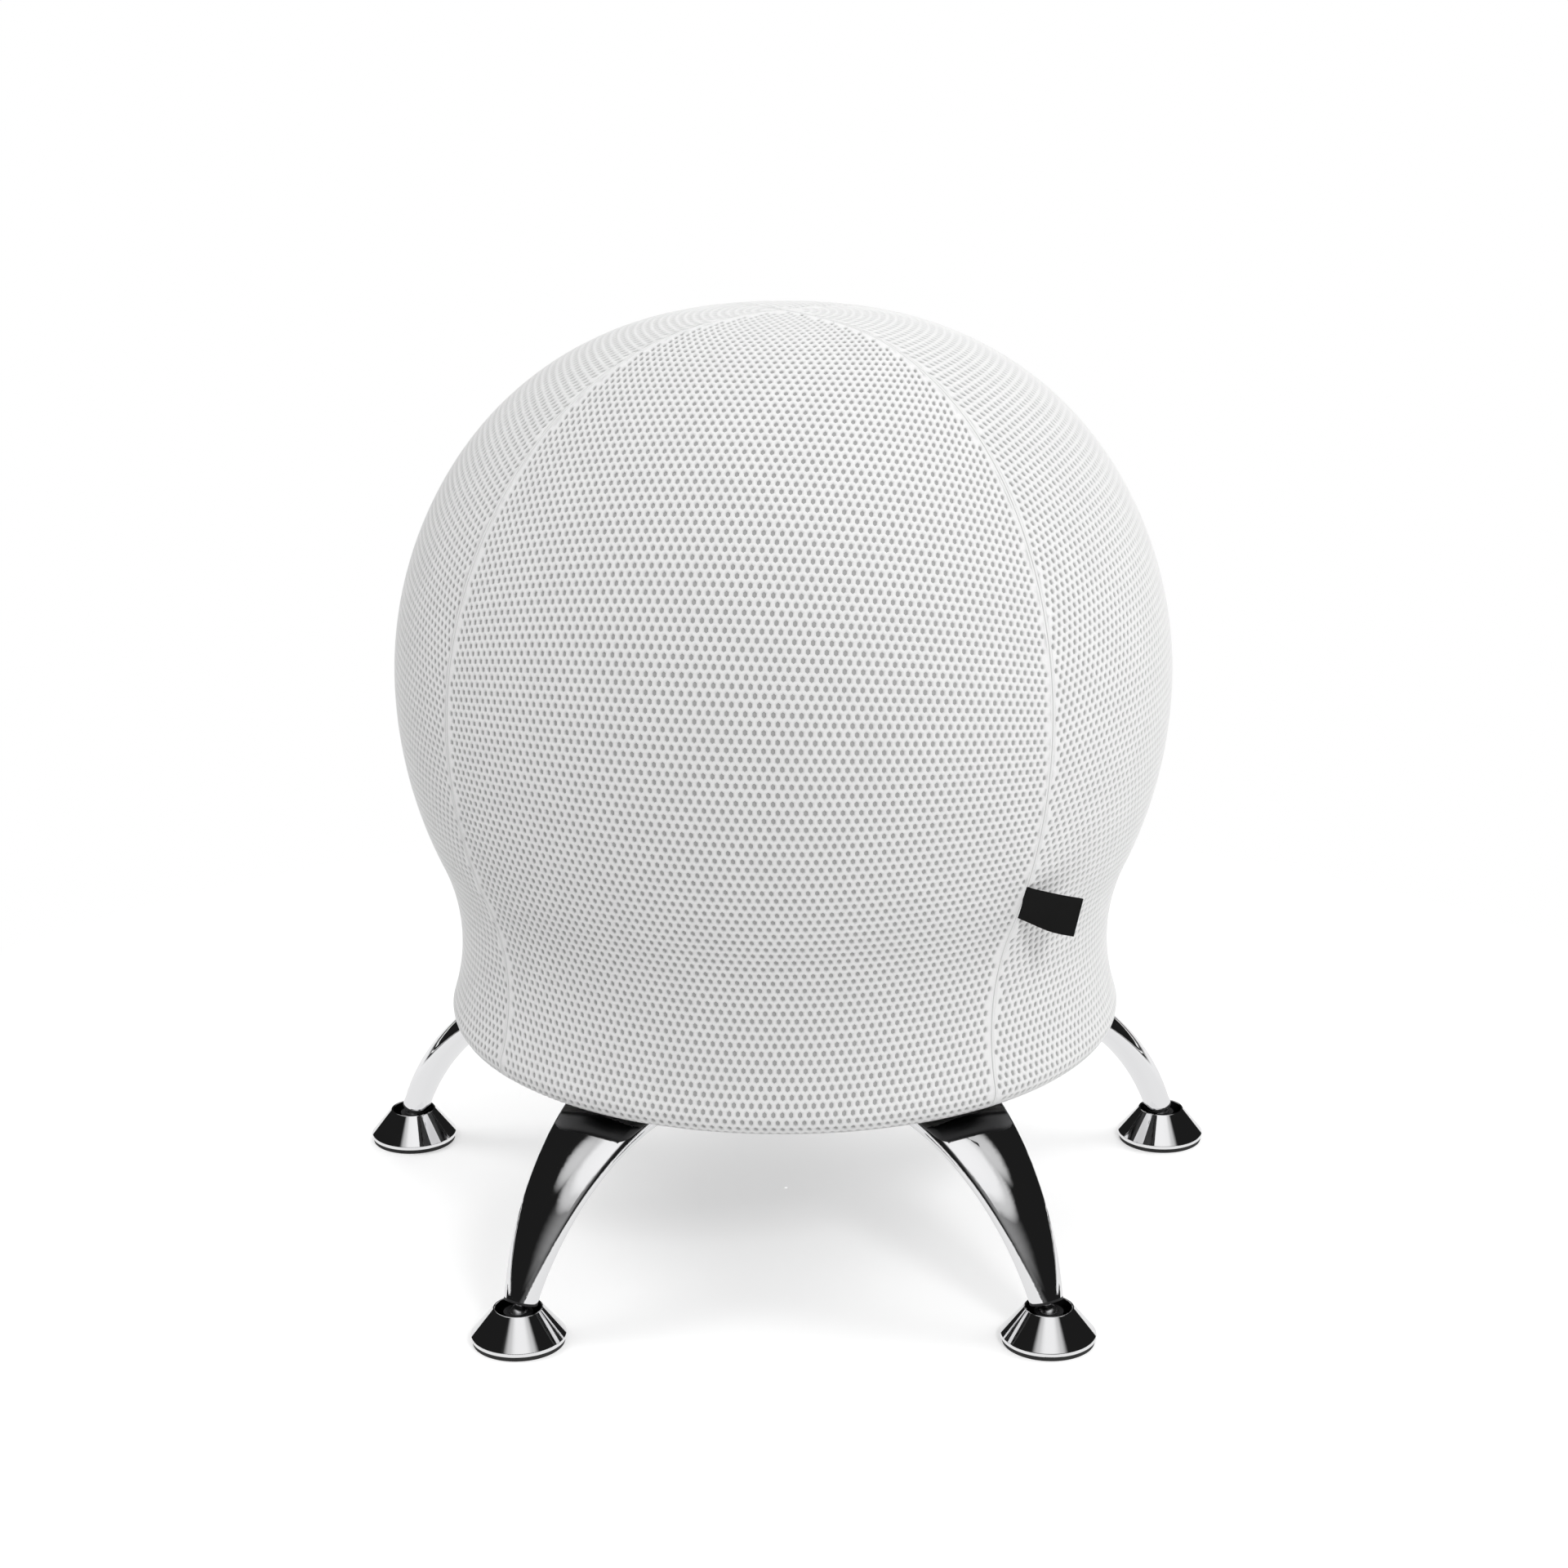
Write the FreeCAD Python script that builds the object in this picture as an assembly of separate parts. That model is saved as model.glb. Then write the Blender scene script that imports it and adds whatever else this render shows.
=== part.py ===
import FreeCAD, Part
import math
import os

# Ball stool: an air-filled ball in a sewn mesh cover, on a ring and pan with five curved legs and
# tilting feet.
# Sizes are in millimetres and angles in degrees. The floor is z = 0, +Z is up along the stool's axis, and
# the front is -Y. Directions round the axis are counted from the front towards +X.

# Clearances
soft_gap = 0.3        # between a soft piece and whatever it lies against
slip_gap = 0.15       # between a push-in plastic piece and its tube
running_gap = 0.05    # radial play of a pin, bolt or ball in its hole or socket
bolt_hole_gap = 0.5   # radial play of a bolt in a clearance hole

# Feet: a bell on a ball joint
foot_count = 5
foot_circle_r = 276.5   # from the stool's axis to the middle of a foot
pad_r = 26.0            # inside the bell
pad_edge_r = 28.4       # under the bell's rim
pad_thick = 5.4
bell_lift = 2.8         # rim of the bell above the floor
bell_rim_r = 29.4
bell_rim_height = 2.4
bell_top_r = 15.2
bell_top_z = 22.7
bell_wall = 1.8         # measured level
bell_edge_round = 0.6
socket_flange_thick = 3.0
socket_cup_wall = 2.5
socket_cup_open = 66.0  # half angle of the cup's mouth, from straight up
joint_ball_r = 6.5
joint_ball_z = 17.2     # height of the ball joint's centre

# Studs and leg plugs
stud_neck_r = 2.8
stud_shank_r = 4.0
stud_shank_length = 18.0
plug_flange_thick = 1.5
plug_length = 20.0
plug_flange_above_ball = 8.0  # along the leg, from the ball's centre to the flange

# Legs: oval tubes that widen from the foot to the pan
leg_lean = 18.5         # lean of the leg's lower end from upright
leg_bend_r = 150.0      # radius of the leg's middle line
leg_foot_flat = 4.5     # flat part of the oval's width at the foot
leg_top_flat = 60.0     # the same at the pan
leg_foot_thick = 17.6
leg_top_thick = 24.0
leg_crown = 5.0         # how far the crowned faces fall to their edges, halfway up the bend
leg_wall = 2.0
leg_sections = 9        # ovals that shape the bend
cap_thick = 2.5
cap_spigot = 9.0
cap_bolt_gap = 2.0      # from a cap's spigot to the nearest bolt's access hole
leg_side_gap = 1.0      # between the inner ends of neighbouring legs, which are mitred to keep it

# Leg bolts
bolt_r = 4.0
bolt_head_r = 6.5
bolt_head_height = 4.5
bolt_tip = 1.0          # bolt end past its nut
bolt_edge = 9.0         # from the end of the bend to the first bolt
bolt_spacing = 25.0
washer_r = 8.0
washer_thick = 1.6
nut_across_flats = 13.0
nut_height = 6.5
access_hole_r = 9.5     # in the underside of a leg, for the bolt head and its key

# Pan, ring and cradle
pan_thick = 3.0
pan_hole_r = 28.0       # for reaching the ball's valve from below
ring_r = 207.5          # to the middle of the ring's tube
ring_tube_r = 10.0
ring_tube_wall = 1.5
ring_vent_r = 2.0
ring_lift = 3.0         # tube's middle above the underside of the pan
cradle_hole_r = 45.0
cradle_floor = 12.0     # height of the ball's seat above the pan
cradle_lip = 36.0       # how far the cradle follows the ball's curve up, as an angle
nut_pocket_gap = 1.5    # room round a nut and its bolt's end in the cradle

# Seat: the outer face of the cover, as arcs that run into one another
cover_thick = 2.5
seat_r = 249.8          # widest radius
seat_rise = 221.8       # widest line above the middle of the ring
upper_side_r = 246.0
upper_side_turn = 35.0  # where the upper side gives way to the shoulder
shoulder_r = 211.5
shoulder_turn = 83.8    # where the shoulder gives way to the crown
lower_side_r = 280.0
neck_r = 144.0          # hollow curve between the ball and the ring
# where each gore starts, round the axis
seams = {"front": -54.0, "right": 38.5, "back": 127.5, "left": 217.0}

# Hem
hem_r = 3.9             # outside of the sewn tunnel
hem_wall = 1.0
hem_place = -140.0      # round the ring's tube, from straight out
elastic_r = 2.5
hem_slot_r = 2.0        # hole at the back that the elastic is threaded through

# Ball
ball_wall = 2.0
ball_heel_r = 60.0      # curve between the ball's side and its flattened bottom
valve_bore_r = 5.0
valve_boss_r = 15.0
valve_boss_height = 6.0
valve_flange_r = 11.0
valve_flange_thick = 2.0
valve_stem_length = 9.0

# Side tag
tag_length = 35.0
tag_height = 23.0
tag_thick = 1.2
tag_lean = 45.0         # away from standing straight out of the seam
tag_below_widest = 20.0 # place down the lower side, as an angle from the widest line
tag_seam = "right"

# Worked-out heights and places
up = FreeCAD.Vector(0, 0, 1)
centre = FreeCAD.Vector(0, 0, 0)
leg_end = plug_flange_above_ball + plug_flange_thick
leg_end_r = foot_circle_r - leg_end * math.sin(math.radians(leg_lean))
leg_end_z = joint_ball_z + leg_end * math.cos(math.radians(leg_lean))
bend_centre_r = leg_end_r - leg_bend_r * math.cos(math.radians(leg_lean))
bend_centre_z = leg_end_z - leg_bend_r * math.sin(math.radians(leg_lean))
pan_z = bend_centre_z + leg_bend_r + leg_top_thick / 2
pan_top = pan_z + pan_thick
# straight length of a leg under the pan, with room for both bolts and the cap
leg_tail = bolt_edge + bolt_spacing + access_hole_r + cap_bolt_gap + cap_spigot
bolt_places = [bend_centre_r - bolt_edge, bend_centre_r - bolt_edge - bolt_spacing]
wrap_r = ring_tube_r + soft_gap + cover_thick
hem_reach = ring_tube_r + soft_gap + hem_r
hem_drop = -hem_reach * math.sin(math.radians(hem_place))
hem_centre_r = ring_r + hem_reach * math.cos(math.radians(hem_place))
# the ring stands at its lift, or higher where its hem would otherwise meet the bend of a leg
hem_past_bend = max(hem_centre_r - bend_centre_r, 0)
hem_clear_r = leg_bend_r + leg_top_thick / 2 + soft_gap + hem_r
hem_least_z = bend_centre_z + math.sqrt(hem_clear_r ** 2 - hem_past_bend ** 2)
ring_z = max(pan_z + ring_lift, hem_least_z + hem_drop)
hem_centre_z = ring_z - hem_drop
seat_z = ring_z + seat_rise
ball_seat_z = pan_top + cradle_floor
nut_room_r = nut_across_flats / math.sqrt(3) + nut_pocket_gap
foot_places = [360.0 / foot_count * (i + 0.5) for i in range(foot_count)]


def at(r, z):
    """Point in the profile plane, r out from the axis and z up."""
    return FreeCAD.Vector(r, 0, z)


def round_to(middle, radius, degrees):
    """Point on a circle in the profile plane, with the angle counted up from straight out."""
    a = math.radians(degrees)
    return at(middle[0] + radius * math.cos(a), middle[1] + radius * math.sin(a))


def arc(middle, radius, first, last):
    """Arc in the profile plane, from one angle to another."""
    ends = [round_to(middle, radius, a) for a in (first, (first + last) / 2, last)]
    return Part.Arc(*ends).toShape()


def run(*points):
    """Straight edges through points."""
    return [Part.LineSegment(p, q).toShape() for p, q in zip(points, points[1:])]


def eased(points, radius):
    """Closed profile through points, with each corner rounded by an arc that touches both of its sides."""
    starts = []
    edges = []
    for before, corner, after in zip(points[-1:] + points[:-1], points, points[1:] + points[:1]):
        back = (before - corner).normalize()
        on = (after - corner).normalize()
        half = back.getAngle(on) / 2
        reach = radius / math.tan(half)
        bisector = (back + on).normalize()
        middle = corner + bisector * (radius / math.sin(half) - radius)
        starts.append((corner + back * reach, corner + on * reach))
        edges.append(Part.Arc(corner + back * reach, middle, corner + on * reach).toShape())
    for (_, leave), (arrive, _) in zip(starts, starts[1:] + starts[:1]):
        edges += run(leave, arrive)
    return Part.__sortEdges__(edges)


def spun(edges, turn=360.0):
    """Solid made by turning a closed profile about the Z axis."""
    return Part.Face(Part.Wire(edges)).revolve(centre, up, turn)


def turned(shape, direction):
    """Copy of a shape built towards +X, swung round the axis to face a direction."""
    copy = shape.copy()
    copy.rotate(centre, up, direction - 90)
    return copy


def at_foot(shape):
    """Copy of a shape built about the Z axis, moved out along +X to the foot circle."""
    return shape.translated(FreeCAD.Vector(foot_circle_r, 0, 0))


def disc(radius, height, place, along=up):
    """Cylinder from a point along a direction."""
    return Part.makeCylinder(radius, height, place, along)


def cover_arcs():
    """The cover's outer face from the pole to the hem: (middle, radius, first angle, last angle, side).

    Side is 1 where the middle lies inside the cover and -1 where it lies outside, so that a face further out
    has the same middles and radius + side * distance.
    """
    side_turn = math.radians(upper_side_turn)
    top_turn = math.radians(shoulder_turn)
    upper = (seat_r - upper_side_r, seat_z)
    lower = (seat_r - lower_side_r, seat_z)
    step = upper_side_r - shoulder_r
    shoulder = (upper[0] + step * math.cos(side_turn), upper[1] + step * math.sin(side_turn))
    crown_r = shoulder_r + shoulder[0] / math.cos(top_turn)
    crown = (0.0, shoulder[1] + (shoulder_r - crown_r) * math.sin(top_turn))
    # the neck touches the lower side and the wrap round the ring from outside, so its middle is where two
    # larger circles about theirs cross
    from_lower = lower_side_r + neck_r
    from_ring = wrap_r + neck_r
    across = (ring_r - lower[0], ring_z - lower[1])
    apart = math.hypot(*across)
    along = (from_lower ** 2 - from_ring ** 2 + apart ** 2) / (2 * apart)
    beside = math.sqrt(from_lower ** 2 - along ** 2)
    neck = (lower[0] + (along * across[0] - beside * across[1]) / apart,
            lower[1] + (along * across[1] + beside * across[0]) / apart)
    leave = math.degrees(math.atan2(neck[1] - lower[1], neck[0] - lower[0]))
    meet = math.degrees(math.atan2(neck[1] - ring_z, neck[0] - ring_r))
    wrap_end = hem_place + math.degrees(math.asin((hem_r + soft_gap) / hem_reach))
    return [
        (crown, crown_r, 90.0, shoulder_turn, 1),
        (shoulder, shoulder_r, shoulder_turn, upper_side_turn, 1),
        (upper, upper_side_r, upper_side_turn, 0.0, 1),
        (lower, lower_side_r, 0.0, leave, 1),
        (neck, neck_r, leave + 180, meet + 180, -1),
        ((ring_r, ring_z), wrap_r, meet, wrap_end, 1),
    ]


def face_edges(arcs, out):
    """Edges of a face that lies a distance outside a chain of arcs."""
    return [arc(middle, radius + side * out, first, last) for middle, radius, first, last, side in arcs]


def closed_between(outer, inner):
    """Closed profile between two chains of edges that start at the axis."""
    starts = run(outer[0].firstVertex(True).Point, inner[0].firstVertex(True).Point)
    ends = run(outer[-1].lastVertex(True).Point, inner[-1].lastVertex(True).Point)
    return Part.__sortEdges__(outer + inner + starts + ends)


def cover_gores():
    """Four sewn gores of the mesh cover, each from the pole to the hem and edge to edge with the next."""
    arcs = cover_arcs()
    profile = closed_between(face_edges(arcs, 0), face_edges(arcs, -cover_thick))
    names = list(seams)
    gores = {}
    for name, following in zip(names, names[1:] + names[:1]):
        width = (seams[following] - seams[name]) % 360
        gores["cover_" + name] = turned(spun(profile, width), seams[name])
    return gores


def ball_edges(out):
    """Edges of a face of the ball, a distance outside the face that lies in the cover and on the cradle."""
    under_cover = -cover_thick - soft_gap
    arcs = cover_arcs()[:4]
    lower = arcs[3][0]
    lower_r = lower_side_r + under_cover
    heel_z = ball_seat_z + ball_heel_r
    heel_r = lower[0] + math.sqrt((lower_r - ball_heel_r) ** 2 - (heel_z - lower[1]) ** 2)
    heel_turn = math.degrees(math.atan2(heel_z - lower[1], heel_r - lower[0]))
    arcs[3] = (lower, lower_side_r, 0.0, heel_turn, 1)
    heel = (heel_r, heel_z)
    edges = face_edges(arcs, under_cover + out)
    edges.append(arc(heel, ball_heel_r + out, heel_turn, -90.0))
    return edges, heel


def ball():
    """Air-filled ball, flattened where it sits, with a thicker boss round its valve hole."""
    outer, heel = ball_edges(0)
    inner, _ = ball_edges(-ball_wall)
    floor = ball_seat_z + ball_wall
    boss_top = ball_seat_z + valve_boss_height
    pole = run(outer[0].firstVertex(True).Point, inner[0].firstVertex(True).Point)
    bottom = run(
        at(heel[0], ball_seat_z),
        at(valve_bore_r, ball_seat_z),
        at(valve_bore_r, boss_top),
        at(valve_boss_r, boss_top),
        at(valve_boss_r, floor),
        at(heel[0], floor),
    )
    return spun(Part.__sortEdges__(outer + inner + pole + bottom))


def valve_plug():
    """Push-in valve plug, its flange against the bottom of the ball."""
    below = FreeCAD.Vector(0, 0, ball_seat_z - valve_flange_thick)
    flange = disc(valve_flange_r, valve_flange_thick, below)
    stem = disc(valve_bore_r - running_gap, valve_flange_thick + valve_stem_length, below)
    return flange.fuse(stem).removeSplitter()


def side_tag():
    """Woven tag sewn into a seam, standing out of it and leaning over towards the next gore."""
    slope = math.radians(-tag_below_widest)
    lean = math.radians(tag_lean)
    middle = (seat_r - lower_side_r, seat_z)
    root = round_to(middle, lower_side_r + soft_gap, -tag_below_widest)
    outward = FreeCAD.Vector(math.cos(slope), 0, math.sin(slope))
    downward = FreeCAD.Vector(math.sin(slope), 0, -math.cos(slope))
    sideways = FreeCAD.Vector(0, 1, 0)
    reach = outward * math.cos(lean) + sideways * math.sin(lean)
    through = reach.cross(downward)
    through.normalize()
    clear = outward * (tag_thick * math.sin(lean))
    corner = root + clear - downward * (tag_height / 2) - through * (tag_thick / 2)
    outline = [corner, corner + reach * tag_length, corner + reach * tag_length + downward * tag_height,
               corner + downward * tag_height, corner]
    plate = Part.Face(Part.makePolygon(outline)).extrude(through * tag_thick)
    return turned(plate, seams[tag_seam])


def ring_round(middle_r, middle_z, radius, wall):
    """Hollow ring of round tube about the axis."""
    place = FreeCAD.Vector(0, 0, middle_z)
    return Part.makeTorus(middle_r, radius, place).cut(Part.makeTorus(middle_r, radius - wall, place))


def base_ring():
    """Steel tube ring that the cover is pulled over, with a vent hole on its inner side."""
    vent = disc(ring_vent_r, ring_tube_r, FreeCAD.Vector(0, ring_r, ring_z), -up)
    return ring_round(ring_r, ring_z, ring_tube_r, ring_tube_wall).cut(vent)


def seat_pan():
    """Pressed pan: a floor under cradle and nuts, a side that rises to the ring, a flange hooked over it."""
    hook = ring_tube_r + soft_gap
    hook_top = hook + pan_thick
    ring = (ring_r, ring_z)
    floor_r = max(cradle_lip_point().x + soft_gap, max(bolt_places) + nut_room_r)
    below = 180 + math.degrees(math.asin(pan_thick / 2 / hook))
    above = 180 - math.degrees(math.asin(pan_thick / 2 / hook_top))
    edges = run(
        round_to(ring, hook, below),
        at(floor_r, pan_z),
        at(pan_hole_r, pan_z),
        at(pan_hole_r, pan_top),
        at(floor_r, pan_top),
        round_to(ring, hook_top, above),
    )
    edges.append(arc(ring, hook_top, above, 90))
    edges += run(round_to(ring, hook_top, 90), round_to(ring, hook, 90))
    edges.append(arc(ring, hook, 90, below))
    pan = spun(edges)
    for direction in foot_places:
        for place in bolt_places:
            hole = disc(bolt_r + bolt_hole_gap, pan_thick, at(place, pan_z))
            pan = pan.cut(turned(hole, direction))
    return pan


def cradle_lip_point():
    """Outer upper edge of the cradle, on the curve that it leaves clear round the ball's heel."""
    heel = ball_edges(0)[1]
    return round_to(heel, ball_heel_r + soft_gap, cradle_lip - 90)


def ball_cradle():
    """Moulded cradle on the pan, shaped to the ball's bottom and heel, with pockets for the nuts."""
    heel = ball_edges(0)[1]
    reach = ball_heel_r + soft_gap
    lip = cradle_lip_point()
    edges = run(
        round_to(heel, reach, -90),
        at(cradle_hole_r, ball_seat_z - soft_gap),
        at(cradle_hole_r, pan_top),
        at(lip.x, pan_top),
        lip,
    )
    edges.append(arc(heel, reach, cradle_lip - 90, -90))
    cradle = spun(edges)
    pocket_depth = nut_height + bolt_tip + nut_pocket_gap
    for direction in foot_places:
        for place in bolt_places:
            cradle = cradle.cut(turned(disc(nut_room_r, pocket_depth, at(place, pan_top)), direction))
    return cradle


def cover_hem():
    """Sewn tunnel at the cover's lower edge, drawn in under the ring, with the elastic's slot behind."""
    behind = FreeCAD.Vector(0, hem_centre_r, hem_centre_z)
    slot = disc(hem_slot_r, hem_r, behind, FreeCAD.Vector(0, -1, 0))
    return ring_round(hem_centre_r, hem_centre_z, hem_r, hem_wall).cut(slot)


def hem_elastic():
    """Elastic cord inside the hem's tunnel."""
    return Part.makeTorus(hem_centre_r, elastic_r, FreeCAD.Vector(0, 0, hem_centre_z))


def leg_oval(share, inset):
    """Oval section of a leg, a share of the way round its bend, drawn in by an inset.

    Two small side rounds and two crowned faces touch one another. The faces are flat at both ends of the
    bend and most crowned halfway, where the side rounds are smaller than half the thickness by leg_crown.
    """
    turn = math.radians(leg_lean + (90 - leg_lean) * share)
    flat = (leg_foot_flat + (leg_top_flat - leg_foot_flat) * share) / 2
    half = (leg_foot_thick + (leg_top_thick - leg_foot_thick) * share) / 2 - inset
    fall = leg_crown * 4 * share * (1 - share)
    side_r = half - fall
    reach = flat + fall
    tilt = math.atan2(2 * fall * reach, reach ** 2 - fall ** 2)
    out = FreeCAD.Vector(math.cos(turn), 0, math.sin(turn))
    middle = at(bend_centre_r, bend_centre_z) + out * leg_bend_r
    side = FreeCAD.Vector(0, 1, 0)

    def on_round(across, face, angle):
        """Point on the side round towards across, an angle away from it towards face."""
        return middle + across * reach + (across * math.cos(angle) + face * math.sin(angle)) * side_r

    edge = math.pi / 2 - tilt
    edges = []
    for way in (1, -1):
        across = side * way
        face = out * way
        start = on_round(-across, face, edge)
        end = on_round(across, face, edge)
        if fall > 0:
            edges.append(Part.Arc(start, middle + face * half, end).toShape())
        else:
            edges += run(start, end)
        tip = on_round(across, face, 0)
        edges.append(Part.Arc(end, on_round(across, face, edge / 2), tip).toShape())
        below = [on_round(across, -face, a) for a in (edge / 2, edge)]
        edges.append(Part.Arc(tip, *below).toShape())
    return Part.Wire(edges)


def leg_sector():
    """Room of one leg between its neighbours: a wedge about +X, drawn in by half the gap between legs."""
    half_turn = math.radians(180 / foot_count)
    apex = leg_side_gap / 2 / math.sin(half_turn)
    reach = foot_circle_r + bell_rim_r
    spread = reach * math.tan(half_turn)
    corners = [
        at(apex, 0),
        FreeCAD.Vector(apex + reach, -spread, 0),
        FreeCAD.Vector(apex + reach, spread, 0),
        at(apex, 0),
    ]
    return Part.Face(Part.makePolygon(corners)).extrude(up * pan_top)


def leg_bar(inset):
    """Solid leg shape, drawn in by an inset: the widening bend and the straight tail under the pan."""
    ovals = [leg_oval(i / (leg_sections - 1), inset) for i in range(leg_sections)]
    bend = Part.makeLoft(ovals, True, False)
    tail = Part.Face(ovals[-1]).extrude(FreeCAD.Vector(-leg_tail, 0, 0))
    return bend, tail


def leg_tube():
    """Leg tube with bolt holes through its top wall and access holes through its bottom wall."""
    outer_bend, outer_tail = leg_bar(0)
    inner_bend, inner_tail = leg_bar(leg_wall)
    leg = outer_bend.cut(inner_bend).fuse(outer_tail.cut(inner_tail)).removeSplitter()
    middle_z = bend_centre_z + leg_bend_r
    for place in bolt_places:
        leg = leg.cut(disc(bolt_r + bolt_hole_gap, leg_top_thick, at(place, middle_z)))
        leg = leg.cut(disc(access_hole_r, leg_top_thick, at(place, middle_z), -up))
    return leg.common(leg_sector())


def leg_axis():
    """Direction of a leg's lower end, from the ball joint upwards."""
    a = math.radians(leg_lean)
    return FreeCAD.Vector(-math.sin(a), 0, math.cos(a))


def leg_plug():
    """Plug in a leg's lower end: a flange under the tube, a spigot in its bore, and the stud's hole."""
    axis = leg_axis()
    flange = Part.Face(leg_oval(0, 0)).extrude(-axis * plug_flange_thick)
    bend, _ = leg_bar(leg_wall + slip_gap)
    reach = disc(leg_bend_r / 2, plug_length, at(leg_end_r, leg_end_z), axis)
    plug = flange.fuse(bend.common(reach)).removeSplitter()
    bore_place = at(foot_circle_r, joint_ball_z) + axis * plug_flange_above_ball
    return plug.cut(disc(stud_shank_r + running_gap, stud_shank_length + running_gap, bore_place, axis))


def leg_cap():
    """Cap on a leg's inner end: a plate over the tube and a spigot inside it."""
    end = FreeCAD.Vector(-leg_tail, 0, 0)
    inward = FreeCAD.Vector(-1, 0, 0)
    plate = Part.Face(leg_oval(1, 0).translated(end)).extrude(inward * cap_thick)
    spigot = Part.Face(leg_oval(1, leg_wall + slip_gap).translated(end)).extrude(-inward * cap_spigot)
    return plate.fuse(spigot).removeSplitter().common(leg_sector())


def foot_stud():
    """Ball-headed stud: ball, neck, and the thicker shank in the plug."""
    axis = leg_axis()
    place = at(foot_circle_r, joint_ball_z)
    head = Part.makeSphere(joint_ball_r, place)
    neck = disc(stud_neck_r, plug_flange_above_ball, place, axis)
    shank = disc(stud_shank_r, stud_shank_length, place + axis * plug_flange_above_ball, axis)
    return head.multiFuse([neck, shank]).removeSplitter()


def bell_inside_r(z):
    """Radius of the bell's inner face at a height above its rim."""
    share = (z - bell_lift - bell_rim_height) / (bell_top_z - bell_lift - bell_rim_height)
    return bell_rim_r + (bell_top_r - bell_rim_r) * share - bell_wall


def foot_bell():
    """Chromed bell: a low upright rim and a straight cone up to an open mouth, with eased edges."""
    rim_top = bell_lift + bell_rim_height
    outline = [
        at(bell_rim_r - bell_wall, bell_lift),
        at(bell_rim_r, bell_lift),
        at(bell_rim_r, rim_top),
        at(bell_top_r, bell_top_z),
        at(bell_top_r - bell_wall, bell_top_z),
        at(bell_rim_r - bell_wall, rim_top),
    ]
    return at_foot(spun(eased(outline, bell_edge_round)))


def foot_socket():
    """Nylon insert in the bell: a flange on the pad and a cup that snaps round the stud's ball."""
    hold_r = joint_ball_r + running_gap
    cup_r = joint_ball_r + socket_cup_wall
    mouth_z = joint_ball_z + hold_r * math.cos(math.radians(socket_cup_open))
    flange_r = bell_inside_r(pad_thick + socket_flange_thick) - running_gap
    flange = disc(flange_r, socket_flange_thick, at(0, pad_thick))
    cup = disc(cup_r, mouth_z - pad_thick, at(0, pad_thick))
    body = flange.fuse(cup).removeSplitter()
    return at_foot(body.cut(Part.makeSphere(hold_r, at(0, joint_ball_z))))


def foot_pad():
    """Non-slip pad under the socket's flange, with a wider edge that shows under the bell's rim."""
    edge = disc(pad_edge_r, bell_lift - soft_gap, centre)
    return at_foot(edge.fuse(disc(pad_r, pad_thick, centre)).removeSplitter())


def bolt_group(single):
    """One small piece repeated at every leg bolt."""
    copies = []
    for direction in foot_places:
        for place in bolt_places:
            copies.append(turned(single.translated(FreeCAD.Vector(place, 0, 0)), direction))
    return Part.makeCompound(copies)


def leg_bolt():
    """Button-head bolt, head up against its washer inside the leg, shank up through wall, pan and nut."""
    under_washer = pan_z - leg_wall - washer_thick
    tip = pan_top + nut_height + bolt_tip
    head = disc(bolt_head_r, bolt_head_height, at(0, under_washer), -up)
    return head.fuse(disc(bolt_r, tip - under_washer, at(0, under_washer))).removeSplitter()


def leg_washer():
    """Washer between a bolt's head and the leg's top wall."""
    place = at(0, pan_z - leg_wall - washer_thick)
    return disc(washer_r, washer_thick, place).cut(disc(bolt_r + running_gap, washer_thick, place))


def leg_nut():
    """Hexagon weld nut on top of the pan."""
    corner_r = nut_across_flats / math.sqrt(3)
    corners = [FreeCAD.Vector(corner_r, 0, pan_top)]
    for i in range(1, 7):
        a = math.radians(60 * i)
        corners.append(FreeCAD.Vector(corner_r * math.cos(a), corner_r * math.sin(a), pan_top))
    block = Part.Face(Part.makePolygon(corners)).extrude(up * nut_height)
    return block.cut(disc(bolt_r + running_gap, nut_height, at(0, pan_top)))


def stool():
    """All pieces by name."""
    pieces = {
        "ball": ball(),
        "valve_plug": valve_plug(),
        "side_tag": side_tag(),
        "base_ring": base_ring(),
        "seat_pan": seat_pan(),
        "ball_cradle": ball_cradle(),
        "cover_hem": cover_hem(),
        "hem_elastic": hem_elastic(),
        "leg_bolts": bolt_group(leg_bolt()),
        "leg_washers": bolt_group(leg_washer()),
        "leg_nuts": bolt_group(leg_nut()),
    }
    pieces.update(cover_gores())
    repeated = {
        "leg": leg_tube(),
        "leg_plug": leg_plug(),
        "leg_cap": leg_cap(),
        "foot_stud": foot_stud(),
        "foot_bell": foot_bell(),
        "foot_socket": foot_socket(),
        "foot_pad": foot_pad(),
    }
    for name, shape in repeated.items():
        for number, direction in enumerate(foot_places, 1):
            pieces[f"{name}_{number}"] = turned(shape, direction)
    return pieces


os.makedirs("parts", exist_ok=True)
for name, shape in stool().items():
    shape.exportStep(f"parts/{name}.step")
    print(name, "solids", len(shape.Solids), "valid", shape.isValid(), "volume", round(shape.Volume))
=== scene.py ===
import math

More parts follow.
